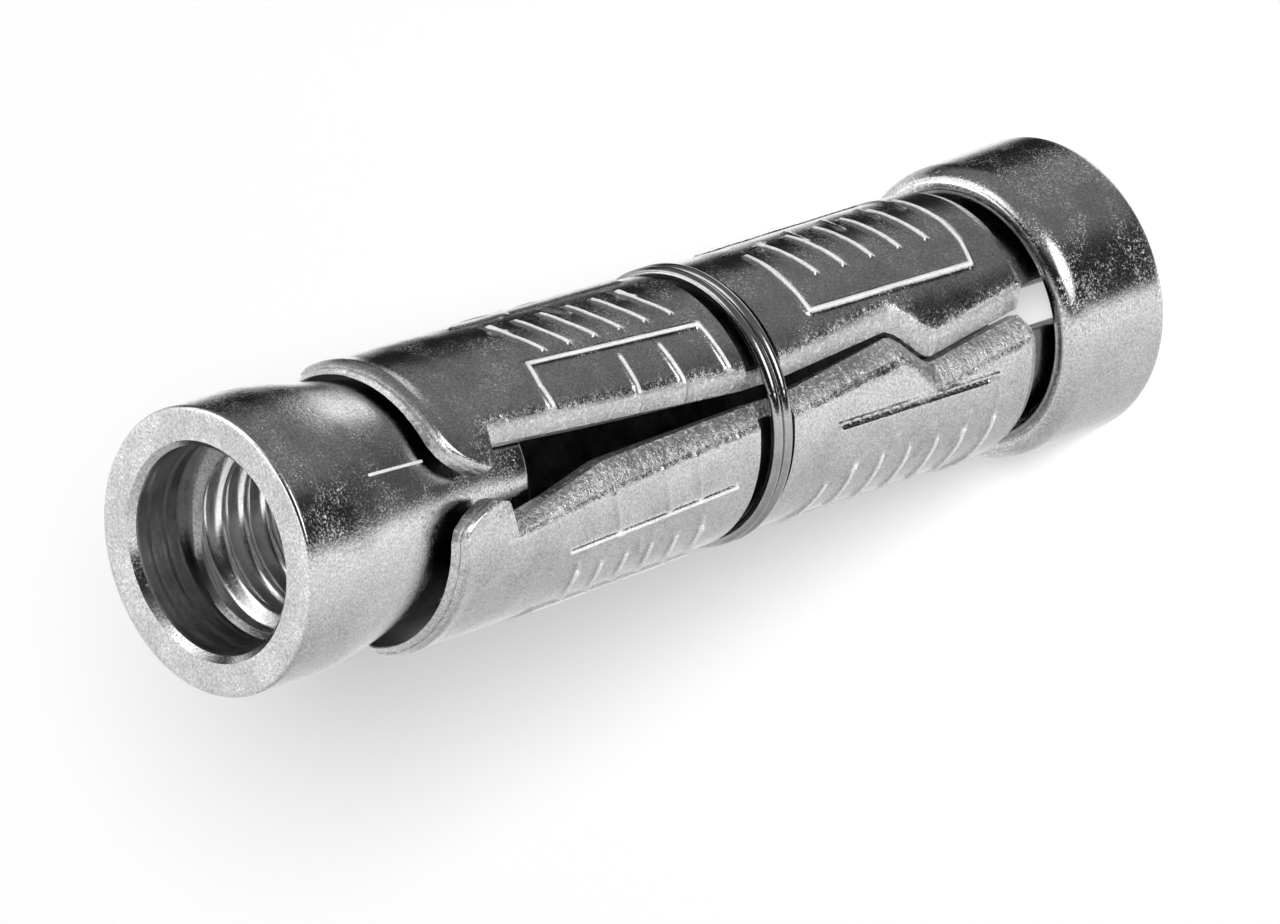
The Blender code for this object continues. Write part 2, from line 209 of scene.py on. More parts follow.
# Camera: how it stands to the shield, in the shield's own frame
CAMERA_BEARING = radians(-37)
CAMERA_ELEVATION = radians(42.21)
CAMERA_ROLL = radians(-107.88)
CAMERA_DISTANCE = 0.8779
CAMERA_TARGET_HEIGHT = 0.0310
CAMERA_TARGET_SIDE = -0.0023
CAMERA_LENS = 495.1

# Studio: the table that the metal mirrors lies along the shield, on the side away from this bearing.
# Each of its stops is a rise along the bearing and how bright the room is there.
STUDIO_UP_BEARING = radians(27.4)
TABLE_STOPS = (
    (-1.0, 0.6), (-0.74, 0.7), (-0.35, 1.0), (-0.08, 1.3), (-0.02, 1.2), (0.01, 0.03),
    (0.4, 0.02), (0.52, 0.05), (0.61, 0.21), (1.0, 0.25),
)
WALL_LEVEL = 0.9
SOFT_BOX_LEVEL = 3.2
SIDE_LIGHT_LEVEL = 1.8
TOP_LIGHT_LEVEL = 2.4
KEY_STRENGTH = 2.8
KEY_WIDTH = radians(12)
ROOM_RADIUS = 3.0

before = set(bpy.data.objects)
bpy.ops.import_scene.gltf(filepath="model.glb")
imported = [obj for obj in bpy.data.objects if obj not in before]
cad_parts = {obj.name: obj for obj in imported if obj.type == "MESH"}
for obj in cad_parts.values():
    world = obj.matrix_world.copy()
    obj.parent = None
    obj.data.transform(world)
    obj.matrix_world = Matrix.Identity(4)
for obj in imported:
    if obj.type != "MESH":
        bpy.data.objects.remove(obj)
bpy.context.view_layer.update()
ferrule_low, ferrule_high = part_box("ferrule")

# Sizes that follow from the ones above and from the frame
FERRULE_RADIUS = (ferrule_high.x - ferrule_low.x) / 2
FERRULE_HEIGHT = ferrule_high.z
FERRULE_HOLE_RADIUS = FERRULE_RADIUS - FERRULE_LEDGE
RIM_OPENING = FERRULE_RADIUS - RIM_ROLL
FERRULE_INNER = FERRULE_RADIUS - FERRULE_WALL
SEGMENT_SPAN = 360.0 / SEGMENT_COUNT
NECK_RADIUS = RIM_OPENING - NECK_CLEARANCE
HOOK_RADIUS = FERRULE_INNER - HOOK_CLEARANCE
HOOK_FOOT = FERRULE_WALL + FLOOR_CLEARANCE
HOOK_TOP = FERRULE_HEIGHT - FERRULE_WALL - RIM_HEADROOM
SHOULDER_HEIGHT = FERRULE_HEIGHT + SHOULDER_CLEARANCE
BODY_FOOT = SHOULDER_HEIGHT + SHOULDER_ROUND
RING_RADIUS = BODY_RADIUS
GROOVE_LOW = RING_HEIGHT - WIRE_RADIUS - RING_CLEARANCE
GROOVE_HIGH = GROOVE_LOW + GROOVE_WIDTH
GROOVE_FLOOR = RING_RADIUS - WIRE_RADIUS - RUNNING_GAP
CUT_FOOT = GROOVE_HIGH + GROOVE_RUNOUT
NUT_FOOT = ANCHOR_LENGTH - NUT_LENGTH
COLLAR_FOOT = ANCHOR_LENGTH - NUT_COLLAR
CONE_FOOT = COLLAR_FOOT - (NUT_RADIUS - NUT_NECK_RADIUS) / NUT_CONE_SLOPE
LIP_HEIGHT = ANCHOR_LENGTH - LIP_SETBACK
LIP_GRID_FOOT = LIP_HEIGHT - LIP_GRID_DEPTH
WAVE_HEIGHTS = (
    SHOULDER_HEIGHT, SHOULDER_HEIGHT + WAVE_TROUGH_RISE, SHOULDER_HEIGHT + WAVE_CREST_RISE, GROOVE_LOW,
)
WAVE_ANGLES = (WAVE_FOOT_ANGLE, WAVE_TROUGH_ANGLE, WAVE_CREST_ANGLE, 0.0)
SIDE_COLUMNS = BEVEL_COLUMNS + WALL_COLUMNS

# Materials by place: on the nut, and on a segment. The segment's bore material is nearly black, a painted
# shade that also lines the ring's groove.
OUTSIDE, THREAD, COUNTERBORE = range(3)
SKIN, SHEARED, PAINTED_SHADE = range(3)

FERRULE_FRAME = Matrix.Translation(
    ((ferrule_low.x + ferrule_high.x) / 2, (ferrule_low.y + ferrule_high.y) / 2, 0.0)
)
NUT_FRAME = FERRULE_FRAME @ Matrix.Rotation(-SHIELD_LEAN, 4, "X")
SHELL_FRAME = NUT_FRAME @ Matrix.Translation(
    (SHIELD_SHIFT * cos(SHIFT_BEARING), SHIELD_SHIFT * sin(SHIFT_BEARING), 0.0)
)


# Shared helpers


def outward(bearing):
    """The direction straight out from the axis at a bearing."""
    return Vector((cos(bearing), sin(bearing), 0))


def smooth(share):
    share = np.clip(share, 0.0, 1.0)
    return share * share * (3 - 2 * share)


def lattice_noise(u, v, seed):
    """Smooth value noise from -1 to 1 over a plane, one unit to a cell."""
    table = np.random.default_rng(seed).uniform(-1, 1, (64, 64))
    cell_u, cell_v = np.floor(u).astype(int), np.floor(v).astype(int)
    share_u, share_v = smooth(u - cell_u), smooth(v - cell_v)
    here_u, next_u = cell_u % 64, (cell_u + 1) % 64
    here_v, next_v = cell_v % 64, (cell_v + 1) % 64
    low = table[here_u, here_v] * (1 - share_u) + table[next_u, here_v] * share_u
    high = table[here_u, next_v] * (1 - share_u) + table[next_u, next_v] * share_u
    return low * (1 - share_v) + high * share_v


def arc(centre, radius, start, end, steps):
    """Points of a circular arc in the profile plane, angles in degrees."""
    angles = [radians(start + (end - start) * i / steps) for i in range(steps + 1)]
    return [(centre[0] + radius * cos(a), centre[1] + radius * sin(a)) for a in angles]


def finer(profile, step):
    """The same closed profile with points added so that none are further apart than a step."""
    dense = []
    for here, there in zip(profile, profile[1:] + profile[:1]):
        count = max(1, round(np.hypot(there[0] - here[0], there[1] - here[1]) / step))
        for i in range(count):
            share = i / count
            dense.append((here[0] + (there[0] - here[0]) * share, here[1] + (there[1] - here[1]) * share))
    return dense


def around(radius, bearing, height):
    """Places on a turned surface, from arrays of radius, bearing in radians and height."""
    return np.stack([radius * np.cos(bearing), radius * np.sin(bearing), height], axis=-1)


def ring_faces(rows, columns, closed):
    """Quads over rows of closed rings. A closed set of rows also joins its last to its first."""
    index = np.arange(rows * columns).reshape(rows, columns)
    beside = np.roll(index, -1, axis=1)
    if closed:
        above, above_beside = np.roll(index, -1, axis=0), np.roll(beside, -1, axis=0)
    else:
        index, beside, above, above_beside = index[:-1], beside[:-1], index[1:], beside[1:]
    return np.stack([index, beside, above_beside, above], axis=-1).reshape(-1, 4).tolist()


def new_object(name, data):
    obj = bpy.data.objects.new(name, data)
    bpy.context.scene.collection.objects.link(obj)
    return obj


def mesh_object(name, points, faces, materials, place, face_materials=None, **values):
    """A smooth object with its faces turned outwards, and named values at its points."""
    mesh = bpy.data.meshes.new(name)
    mesh.from_pydata(points.reshape(-1, 3).tolist(), [], faces)
    for material in materials:
        mesh.materials.append(material)
    if face_materials is not None:
        mesh.polygons.foreach_set("material_index", face_materials)
    for title, numbers in values.items():
        attribute = mesh.attributes.new(title, "FLOAT", "POINT")
        attribute.data.foreach_set("value", np.asarray(numbers, np.float32))
    mesh.shade_smooth()
    mesh.transform(place)
    model = bmesh.new()
    model.from_mesh(mesh)
    bmesh.ops.recalc_face_normals(model, faces=model.faces)
    model.to_mesh(mesh)
    model.free()
    mesh.set_sharp_from_angle(angle=SHARP_ANGLE)
    return new_object(name, mesh)


# Materials


class Nodes:
    """A short way to wire nodes."""

    def __init__(self, tree):
        self.tree = tree

    def add(self, kind, inputs=None, **settings):
        node = self.tree.nodes.new(kind)
        for key, value in settings.items():
            setattr(node, key, value)
        for key, value in (inputs or {}).items():
            self.set(node.inputs[key], value)
        return node

    def set(self, socket, value):
        if isinstance(value, bpy.types.NodeSocket):
            self.tree.links.new(value, socket)
        else:
            socket.default_value = value

    def maths(self, operation, a, b=0.0, c=None):
        node = self.add("ShaderNodeMath", {0: a, 1: b}, operation=operation)
        if c is not None:
            self.set(node.inputs[2], c)
        return node.outputs[0]

    def ranged(self, value, low, high, to_low=0.0, to_high=1.0):
        numbers = enumerate((value, low, high, to_low, to_high))
        return self.add("ShaderNodeMapRange", dict(numbers), clamp=True).outputs[0]

    def along(self, vector, direction):
        node = self.add("ShaderNodeVectorMath", {0: vector, 1: tuple(direction)}, operation="DOT_PRODUCT")
        return node.outputs["Value"]

    def noise(self, vector, size, detail=2.0, roughness=0.5):
        """Noise with its main features about one size apart."""
        inputs = {"Vector": vector, "Scale": 1 / size, "Detail": detail, "Roughness": roughness}
        return self.add("ShaderNodeTexNoise", inputs).outputs["Fac"]

    def bump(self, height, distance, normal=None):
        inputs = {"Height": height, "Distance": distance}
        if normal is not None:
            inputs["Normal"] = normal
        return self.add("ShaderNodeBump", inputs).outputs["Normal"]


Textures = namedtuple("Textures", "place fine stain worn rubble")


def tool_scratch(nodes, place):
    """A short bright scratch along the nut's cone, as a share from 0 to 1."""
    low, high = (
        outward(SCRATCH_BEARING) * float(nut_outside(height)) + Vector((0, 0, height))
        for height in SCRATCH_HEIGHTS
    )
    run = (high - low).normalized()
    from_low = nodes.add("ShaderNodeVectorMath", {0: place, 1: tuple(low)}, operation="SUBTRACT").outputs[0]
    passed = nodes.ranged(nodes.along(from_low, run), 0.0, (high - low).length, 0.0, (high - low).length)
    nearest = nodes.add("ShaderNodeVectorMath", {0: tuple(run)}, operation="SCALE")
    nodes.set(nearest.inputs["Scale"], passed)
    away = nodes.add("ShaderNodeVectorMath", {0: from_low, 1: nearest.outputs[0]}, operation="DISTANCE")
    return nodes.ranged(away.outputs["Value"], SCRATCH_WIDTH, SCRATCH_WIDTH / 2)


def zinc_textures(nodes):
    """What all zinc shares, in the shield's own upright frame: grain, stains, worn edges and rubble."""
    upright = {
        "Vector": nodes.add("ShaderNodeTexCoord").outputs["Object"],
        "Location": NUT_FRAME.inverted().translation,
        "Rotation": (SHIELD_LEAN, 0, 0),
    }
    place = nodes.add("ShaderNodeMapping", upright).outputs[0]
    return Textures(
        place=place,
        fine=nodes.noise(place, GRAIN_SIZE, 3.0, 0.8),
        stain=nodes.noise(place, STAIN_SIZE, 4.0, 0.62),
        worn=nodes.add("ShaderNodeAttribute", attribute_name="edge").outputs["Fac"],
        rubble=nodes.noise(place, RUBBLE_SIZE, 3.0, 0.75),
    )


def chalk_and_highlight_share(nodes, textures, chalk_and_highlight_level, scratched):
    """How chalky the zinc is, from 0 to 1: on worn edges, raised strokes and the scratch. On the edges and
    strokes this whitening is partly worn zinc and partly a painted highlight.
    """
    chalk_and_highlight = nodes.maths("MULTIPLY", textures.worn, nodes.ranged(textures.rubble, 0.52, 0.62, 0.0, chalk_and_highlight_level))
    if chalk_and_highlight_level:
        mark = nodes.add("ShaderNodeAttribute", attribute_name="mark").outputs["Fac"]
        chalk_and_highlight = nodes.maths("MAXIMUM", chalk_and_highlight, nodes.ranged(mark, 0.42, 0.75))
    if scratched:
        chalk_and_highlight = nodes.maths("MAXIMUM", chalk_and_highlight, tool_scratch(nodes, textures.place))
    return chalk_and_highlight


def zinc_relief(nodes, textures, grain, pits, lines, crumble):
    """The normal of a grained, pitted surface, with lines round the axis and crumbled edges."""
    normal = nodes.bump(textures.fine, grain * MICRON)
    pit = nodes.ranged(nodes.noise(textures.place, PIT_SIZE, 2.0, 0.65), 0.54, 0.70)
    patchy = nodes.ranged(textures.stain, 0.44, 0.60, 0.2, 1.0)
    normal = nodes.bump(nodes.maths("MULTIPLY", pit, patchy), -pits * MICRON, normal)
    if lines:
        squeeze = {"Vector": textures.place, "Scale": (LINE_SQUEEZE, LINE_SQUEEZE, 1.0)}
        squeezed = nodes.add("ShaderNodeMapping", squeeze).outputs[0]
        normal = nodes.bump(nodes.noise(squeezed, LINE_SIZE, 2.0, 0.6), lines * MICRON, normal)
    if crumble:
        crumbled = nodes.maths("MULTIPLY", textures.rubble, textures.worn)
        normal = nodes.bump(crumbled, crumble * MICRON, normal)
    return normal


def zinc(name, grey, roughness, contrast, grain, pits, lines=0, crumble=0, chalk_and_highlight_level=0.0, scratched=False):
    """Zinc-plated steel. Depths of its grain, pits, lines and crumbled edges in thousandths of a mm."""
    material = bpy.data.materials.new(name)
    material.use_nodes = True
    nodes = Nodes(material.node_tree)
    textures = zinc_textures(nodes)
    chalk_and_highlight = chalk_and_highlight_share(nodes, textures, chalk_and_highlight_level, scratched)

    shade = nodes.maths("MULTIPLY_ADD", nodes.maths("SUBTRACT", textures.fine, 0.5), contrast, grey)
    tone = nodes.maths("MULTIPLY_ADD", nodes.maths("SUBTRACT", textures.stain, 0.5), 0.3, shade)
    # The chalky share lightens the tone. This is chalky wear, plus a painted highlight on worn edges and
    # raised strokes.
    tone = nodes.maths("MULTIPLY_ADD", chalk_and_highlight, 0.4, tone)
    colour = nodes.add("ShaderNodeCombineColor", {0: tone, 1: tone, 2: tone}).outputs[0]
    rough = nodes.ranged(textures.stain, 0.3, 0.7, roughness - 0.03, roughness + 0.05)
    rough = nodes.maths("MULTIPLY_ADD", chalk_and_highlight, 0.35, rough)

    shader = material.node_tree.nodes["Principled BSDF"]
    nodes.set(shader.inputs["Base Color"], colour)
    nodes.set(shader.inputs["Roughness"], rough)
    nodes.set(shader.inputs["Metallic"], nodes.ranged(chalk_and_highlight, 0.0, 1.0, 1.0, 0.3))
    nodes.set(shader.inputs["Normal"], zinc_relief(nodes, textures, grain, pits, lines, crumble))
    return material


def turned_zinc():
    return zinc("turned_zinc", 0.60, 0.15, 1.1, grain=5.5, pits=10, lines=4, crumble=30, scratched=True)


# Paler than the nut's outside: a painted highlight over the thread, the same zinc as the rest.
def painted_bright_thread_zinc():
    return zinc("painted_bright_thread_zinc", 0.85, 0.16, 0.5, grain=3, pits=4, lines=6)


# Darker than the nut's outside: painted shade on the counterbore's wall, the same zinc as the rest.
def painted_shade_counterbore_zinc():
    return zinc("painted_shade_counterbore_zinc", 0.32, 0.22, 0.5, grain=6, pits=8, lines=12)


def drawn_zinc():
    return zinc("drawn_zinc", 0.58, 0.14, 1.1, grain=4.5, pits=12)


def pressed_zinc():
    return zinc("pressed_zinc", 0.58, 0.16, 1.1, grain=4.5, pits=8, crumble=60, chalk_and_highlight_level=0.6)


def sheared_steel():
    return zinc("sheared_steel", 0.62, 0.32, 1.2, grain=12, pits=15, lines=20, crumble=50, chalk_and_highlight_level=0.5)


# Nearly black zinc: painted shade in the segments' bore and in the groove under the ring.
def painted_shade_bore():
    return zinc("painted_shade_bore", 0.06, 0.45, 0.06, grain=4, pits=6)


def spring_steel():
    return zinc("spring_steel", 0.38, 0.1, 0.3, grain=1, pits=2)


# Ferrule


def ferrule_profile():
    """Radius and height along the cap's closed section, from the rolled rim over its outside."""
    opening = RIM_OPENING - RIM_CURL
    roll_centre = (opening + RIM_EDGE + RIM_TOP, FERRULE_HEIGHT - RIM_ROLL)
    edge_centre = (opening + RIM_EDGE, FERRULE_HEIGHT - RIM_EDGE)
    roll_width = FERRULE_RADIUS - roll_centre[0]
    corner_centre = (FERRULE_RADIUS - FERRULE_CORNER, FERRULE_CORNER)
    inner_corner = (FERRULE_INNER - FERRULE_INNER_CORNER, FERRULE_WALL + FERRULE_INNER_CORNER)
    profile = arc(edge_centre, RIM_EDGE, 180, 90, 8)
    profile += [
        (roll_centre[0] + roll_width * sin(turn), roll_centre[1] + RIM_ROLL * cos(turn))
        for turn in np.linspace(0, pi / 2, 25)
    ]
    profile += arc(corner_centre, FERRULE_CORNER, 0, -90, 10)
    profile += [(FERRULE_HOLE_RADIUS, 0.0), (FERRULE_HOLE_RADIUS, FERRULE_WALL)]
    profile += arc(inner_corner, FERRULE_INNER_CORNER, -90, 0, 5)
    profile += arc((RIM_OPENING, roll_centre[1]), RIM_ROLL - FERRULE_WALL, 0, 80, 12)
    return np.array(finer(profile, FERRULE_ROW_STEP))


def build_ferrule():
    profile = ferrule_profile()
    bearings = np.linspace(0, 2 * pi, TURN_COLUMNS, endpoint=False)
    points = around(profile[:, :1], bearings, np.repeat(profile[:, 1:], TURN_COLUMNS, axis=1))
    faces = ring_faces(len(profile), TURN_COLUMNS, True)
    obj = mesh_object("ferrule_cap", points, faces, [drawn_zinc()], FERRULE_FRAME)
    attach(obj, "cap")
    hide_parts("ferrule")


# Expander nut


def cone_radius(height):
    """The nut's cone at a height, before its fillet and neck."""
    return NUT_RADIUS - NUT_CONE_SLOPE * (COLLAR_FOOT - height)


def nut_outside(height):
    """The nut's outer radius: collar, cone and neck, each blended into the next."""
    below = np.clip(COLLAR_FOOT + NUT_COLLAR_BLEND - height, 0.0, None)
    blended = NUT_RADIUS - NUT_CONE_SLOPE * below ** 2 / (4 * NUT_COLLAR_BLEND)
    radius = np.where(height < COLLAR_FOOT - NUT_COLLAR_BLEND, cone_radius(height), blended)
    above_neck = np.clip((height - CONE_FOOT + NUT_NECK_FILLET / 2) / NUT_NECK_FILLET, 0.0, None)
    fillet = NUT_NECK_RADIUS + NUT_CONE_SLOPE * NUT_NECK_FILLET / 2 * above_neck ** 2
    return np.where(height < CONE_FOOT + NUT_NECK_FILLET / 2, fillet, radius)


def thread_radius(height, bearing):
    """The wall of a right-hand thread, whose first turn rises out of its root."""
    lead = (bearing - THREAD_START) / (2 * pi)
    turn = (ANCHOR_LENGTH - height) / THREAD_PITCH + lead
    crest_depth = (np.floor(turn) + 0.5 - lead) * THREAD_PITCH
    from_crest = np.abs(np.mod(turn, 1.0) - 0.5) * 2
    ridge = 1 - smooth((from_crest - THREAD_CREST_SHARE) / THREAD_FLANK_SHARE)
    ridge = ridge * smooth((crest_depth - NUT_COUNTERBORE_DEPTH) / THREAD_FADE)
    step = np.clip(1 - (ANCHOR_LENGTH - NUT_COUNTERBORE_DEPTH - height) / COUNTERBORE_STEP, 0.0, 1.0)
    root = NUT_BORE_RADIUS + THREAD_DEPTH
    cut = root - THREAD_DEPTH * ridge + (NUT_COUNTERBORE_RADIUS - root) * step
    chamfer = np.clip(NUT_FOOT + NUT_FOOT_CHAMFER - height, 0.0, None)
    return np.maximum(cut, NUT_BORE_RADIUS + chamfer)


def nut_outer_profile():
    """Radius and height down the nut's outside, from its rim to its foot."""
    side = np.arange(ANCHOR_LENGTH - NUT_EDGE, NUT_FOOT + NUT_EDGE, -NUT_ROW_STEP)
    profile = arc((NUT_RADIUS - NUT_EDGE, ANCHOR_LENGTH - NUT_EDGE), NUT_EDGE, 90, 0, 6)
    profile += list(zip(nut_outside(side[1:]), side[1:]))
    profile += arc((NUT_NECK_RADIUS - NUT_EDGE, NUT_FOOT + NUT_EDGE), NUT_EDGE, 0, -90, 5)
    return profile + [(NUT_BORE_RADIUS + NUT_FOOT_CHAMFER, NUT_FOOT)]


def thread_heights():
    """Heights of the thread's rows, closer together where the mouth shows them."""
    thread_top = ANCHOR_LENGTH - NUT_COUNTERBORE_DEPTH
    fine_foot = thread_top - FINE_THREAD_DEPTH
    return np.concatenate([
        np.arange(NUT_FOOT + NUT_EDGE, fine_foot, THREAD_ROW_STEP),
        np.arange(fine_foot, thread_top, FINE_THREAD_ROW_STEP),
    ])


def nut_mouth_profile(rim_radius):
    """Radius and height up the ridged counterbore, over its chamfer and across the nut's face."""
    ridge_turn = np.linspace(0, 2 * pi * TOOL_RIDGES, COUNTERBORE_ROWS)
    radius = NUT_COUNTERBORE_RADIUS - TOOL_RIDGE_HEIGHT * (1 - np.cos(ridge_turn)) / 2
    low, high = ANCHOR_LENGTH - NUT_COUNTERBORE_DEPTH, ANCHOR_LENGTH - MOUTH_CHAMFER
    profile = list(zip(radius, np.linspace(low, high, COUNTERBORE_ROWS)))
    profile += [
        (NUT_COUNTERBORE_RADIUS + MOUTH_CHAMFER * share, ANCHOR_LENGTH - MOUTH_CHAMFER * (1 - share))
        for share in (0.12, 0.5, 0.88, 1.0)
    ]
    face = np.linspace(profile[-1][0], rim_radius, 8)[1:-1]
    return profile + [(across, ANCHOR_LENGTH) for across in face]


def build_nut():
    outer = nut_outer_profile()
    thread = thread_heights()
    mouth = nut_mouth_profile(outer[0][0])
    bearings = np.linspace(0, 2 * pi, TURN_COLUMNS, endpoint=False)
    flat = np.ones(TURN_COLUMNS)
    rows = [around(radius * flat, bearings, height * flat) for radius, height in outer]
    rows += [around(thread_radius(height, bearings), bearings, height * flat) for height in thread]
    rows += [around(radius * flat, bearings, height * flat) for radius, height in mouth]

    thread_end = len(outer) + len(thread)
    step_start = thread_end - ceil(COUNTERBORE_STEP / FINE_THREAD_ROW_STEP)
    kinds = np.full(len(rows), OUTSIDE)
    kinds[len(outer):step_start] = THREAD
    kinds[step_start:thread_end + COUNTERBORE_ROWS - 2] = COUNTERBORE
    outer_heights = np.array([height for _, height in outer])
    above_collar_wear = outer_heights - COLLAR_FOOT - COLLAR_WEAR_RISE
    worn = np.zeros(len(rows))
    worn[:len(outer)] = np.exp(-(above_collar_wear / COLLAR_WEAR_WIDTH) ** 2)
    obj = mesh_object(
        "expander_nut_body", np.array(rows), ring_faces(len(rows), TURN_COLUMNS, True),
        [turned_zinc(), painted_bright_thread_zinc(), painted_shade_counterbore_zinc()], NUT_FRAME, np.repeat(kinds, TURN_COLUMNS),
        edge=np.repeat(worn, TURN_COLUMNS),
    )
    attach(obj, "nut")
    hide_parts("expander_nut")


# Spring ring


def ring_point(angle):
    share = (angle - (2 * pi - RING_GAP_ANGLE)) / (2 * RING_GAP_ANGLE)
    climb = TURN_PITCH * float(smooth(share))
    bearing = angle + RING_GAP_BEARING
    return Vector((RING_RADIUS * cos(bearing), RING_RADIUS * sin(bearing), RING_HEIGHT + climb))


def wire_run(curve, low, high, first, last):
    """One run of wire over a segment. A thinner end reaches on inside the next segment's run."""
    count = round((high - low) / WIRE_STEP) + 1
    stations = [(angle, 1.0) for angle in np.linspace(low, high, count)]
    if high < last:
        stations += [(high + SLEEVE_STEP, SLEEVE_SHARE), (high + SLEEVE_ANGLE, SLEEVE_SHARE)]
    if low > first:
        sleeve = [(low - SLEEVE_ANGLE, SLEEVE_SHARE), (low - SLEEVE_STEP, SLEEVE_SHARE)]
        stations = sleeve + stations
    spline = curve.splines.new("POLY")
    spline.use_smooth = True
    spline.points.add(len(stations) - 1)
    for target, (angle, share) in zip(spline.points, stations):
        target.co = (*(SHELL_FRAME @ ring_point(angle)), 1.0)
        target.radius = share


def build_ring():
    """Two flat turns joined by a short cross-over, in one piece of wire for each segment."""
    steel = spring_steel()
    first, last = RING_GAP_ANGLE, 4 * pi - RING_GAP_ANGLE
    for index in range(SEGMENT_COUNT):
        start = radians(FIRST_SEAM + SEGMENT_SPAN * index) - RING_GAP_BEARING
        curve = bpy.data.curves.new(f"ring_{index + 1}", "CURVE")
        curve.dimensions = "3D"
        curve.bevel_depth = WIRE_RADIUS
        curve.bevel_resolution = 6
        curve.use_fill_caps = True
        curve.materials.append(steel)
        for turn in range(-1, 4):
            low = max(start + turn * 2 * pi, first)
            high = min(start + turn * 2 * pi + radians(SEGMENT_SPAN), last)
            if high - low > SHORTEST_RUN:
                wire_run(curve, low, high, first, last)
        obj = new_object(f"spring_ring_part_{index + 1}", curve)
        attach(obj, f"segment_{index + 1}")
        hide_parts("spring_ring")


# Segments


def outer_radius(height):
    heights = (
        HOOK_FOOT, HOOK_TOP - RUNNING_GAP, HOOK_TOP + RUNNING_GAP, SHOULDER_HEIGHT - RUNNING_GAP,
        SHOULDER_HEIGHT, SHOULDER_HEIGHT + 0.3 * SHOULDER_ROUND, BODY_FOOT,
        GROOVE_LOW - GROOVE_RUNOUT, GROOVE_LOW, GROOVE_HIGH, CUT_FOOT, CONE_FOOT, LIP_HEIGHT,
    )
    radii = (
        HOOK_RADIUS, HOOK_RADIUS, NECK_RADIUS, NECK_RADIUS,
        BODY_RADIUS - 0.7 * SHOULDER_ROUND, BODY_RADIUS - 0.2 * SHOULDER_ROUND, BODY_RADIUS,
        BODY_RADIUS, GROOVE_FLOOR, GROOVE_FLOOR, FRONT_RADIUS, CONE_FOOT_RADIUS, LIP_RADIUS,
    )
    return np.interp(height, heights, radii)


def inner_radius(height):
    """A plain bore that opens round the nut's neck, then lies parallel to its cone."""
    opened = (BORE_RADIUS, NUT_NECK_RADIUS + CONE_CLEARANCE)
    bore = np.interp(height, (NUT_FOOT - MOUTH_TAPER, NUT_FOOT), opened)
    return np.where(height > CONE_FOOT, cone_radius(height) + CONE_CLEARANCE, bore)


def wave_angle(height):
    """The seam's offset in degrees: a ramp to a crest, a steep drop and a ramp back."""
    share = (height - WAVE_HEIGHTS[1]) / (WAVE_HEIGHTS[2] - WAVE_HEIGHTS[1])
    steep = WAVE_TROUGH_ANGLE + (WAVE_CREST_ANGLE - WAVE_TROUGH_ANGLE) * smooth(share)
    inside = (height > WAVE_HEIGHTS[1]) & (height < WAVE_HEIGHTS[2])
    return np.where(inside, steep, np.interp(height, WAVE_HEIGHTS, WAVE_ANGLES))


def half_gap_angle(height):
    """Half of the seam's gap in degrees, wider under the ring than at the wave."""
    gap = np.interp(height, (WAVE_HEIGHTS[2], GROOVE_LOW), (SEAM_GAP, RING_SEAM_GAP))
    return np.degrees(gap / 2 / (BODY_RADIUS - BEVEL_DEPTH))


def rear_edges(height, wave_sign):
    """Angles of a bevel's outer and inner edge, from the tab in the ferrule up to the ring."""
    rounded = TAB_CLEAR_ANGLE * np.interp(height, (SHOULDER_HEIGHT, BODY_FOOT), (0.5, 0.0))
    offset = wave_sign * wave_angle(height)
    tab = height < SHOULDER_HEIGHT
    outer = np.where(tab, TAB_CLEAR_ANGLE + half_gap_angle(height), offset + EDGE_ANGLE + rounded / 2)
    inner = np.where(tab, TAB_CLEAR_ANGLE, offset + half_gap_angle(height) + rounded)
    return outer, inner


def front_edges(height, cuts, bevels, ear_depth, ear_angle, corner_depth):
    """Angles of a bevel's outer and inner edge, from the ring up to the lip's corner."""
    cut_mid = LIP_HEIGHT - CUT_TAPER_DEPTH
    cut_top = LIP_HEIGHT - CUT_DEPTH
    ear_foot = LIP_HEIGHT - ear_depth
    outer = np.interp(
        height,
        (CUT_FOOT, cut_mid, cut_top, ear_foot, ear_foot + EAR_STEP, LIP_HEIGHT - corner_depth),
        (EDGE_ANGLE, *cuts, cuts[1], ear_angle + 2 * EAR_BEVEL, ear_angle),
    )
    bevel = np.interp(
        height,
        (CUT_FOOT, cut_mid, cut_top, ear_foot, ear_foot + EAR_STEP),
        (EDGE_ANGLE - half_gap_angle(CUT_FOOT), *bevels, bevels[1], EAR_BEVEL),
    )
    return outer, outer - bevel


def seam_edges(height, wave_sign, *front):
    rear_outer, rear_inner = rear_edges(height, wave_sign)
    front_outer, front_inner = front_edges(height, *front)
    at_front = height >= CUT_FOOT
    return np.where(at_front, front_outer, rear_outer), np.where(at_front, front_inner, rear_inner)


def near_edges(height):
    return seam_edges(height, 1, NEAR_CUTS, NEAR_BEVELS, NEAR_EAR_DEPTH, NEAR_EAR_ANGLE, NEAR_CORNER_DEPTH)


def far_edges(height):
    return seam_edges(height, -1, FAR_CUTS, FAR_BEVELS, FAR_EAR_DEPTH, FAR_EAR_ANGLE, FAR_CORNER_DEPTH)


def lip_height(angle):
    """The lip's outline, from the near corner to the far one."""
    near = np.clip((angle - NEAR_EAR_ANGLE) / NEAR_SWEEP_ANGLE, 0.0, 1.0)
    far = np.clip((SEGMENT_SPAN - FAR_EAR_ANGLE - angle) / FAR_SWEEP_ANGLE, 0.0, 1.0)
    near_drop = NEAR_CORNER_DEPTH * (1 - near) ** SWEEP_POWER
    far_drop = FAR_CORNER_DEPTH * (1 - far) ** SWEEP_POWER
    return LIP_HEIGHT - near_drop - far_drop


